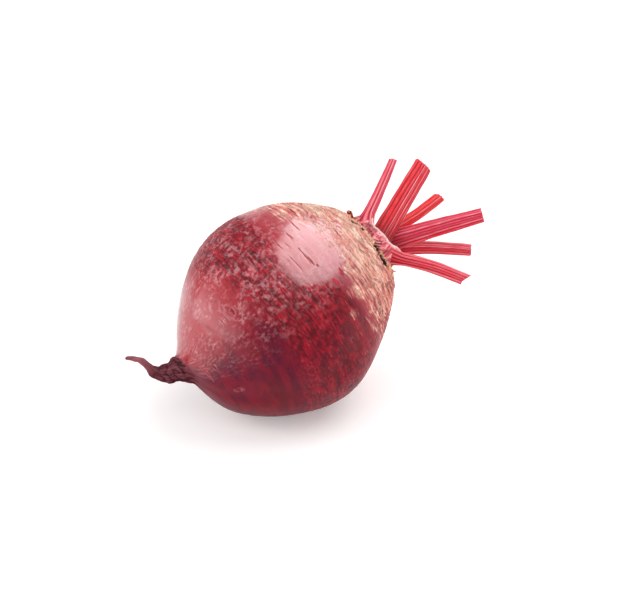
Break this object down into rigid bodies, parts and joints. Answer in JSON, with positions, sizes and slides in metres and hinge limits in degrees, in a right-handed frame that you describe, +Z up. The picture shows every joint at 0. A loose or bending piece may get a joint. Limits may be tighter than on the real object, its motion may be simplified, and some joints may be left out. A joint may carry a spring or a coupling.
{
  "type": "beetroot",
  "caption": "Whole beetroot lying on its side: a round swollen root with a bent taproot, a corky crown and cut leaf stalks, resting on a small flat spot.",
  "frame": {"origin": "middle of the flat spot that it rests on, straight below its centre of mass", "axes": "+Z up; +X along the root's axis as seen from above, towards the crown; the axis rises 26 degrees from the taproot to the crown"},
  "size_m": [0.1433, 0.0807, 0.0888],
  "materials": {
    "beet_skin": "thin moist skin, deep maroon with short cross scars, tan and corky towards the crown",
    "leaf_stalk": "moist satin, bright red with paler ribs along its length"
  },
  "bodies": {
    "root": {"root": "beet_skin", "stalk_upper_thin": "leaf_stalk", "stalk_upper_thick": "leaf_stalk", "stalk_rear_short": "leaf_stalk", "stalk_long": "leaf_stalk", "stalk_rear_low": "leaf_stalk", "stalk_front_low": "leaf_stalk"}
  },
  "joints": []
}
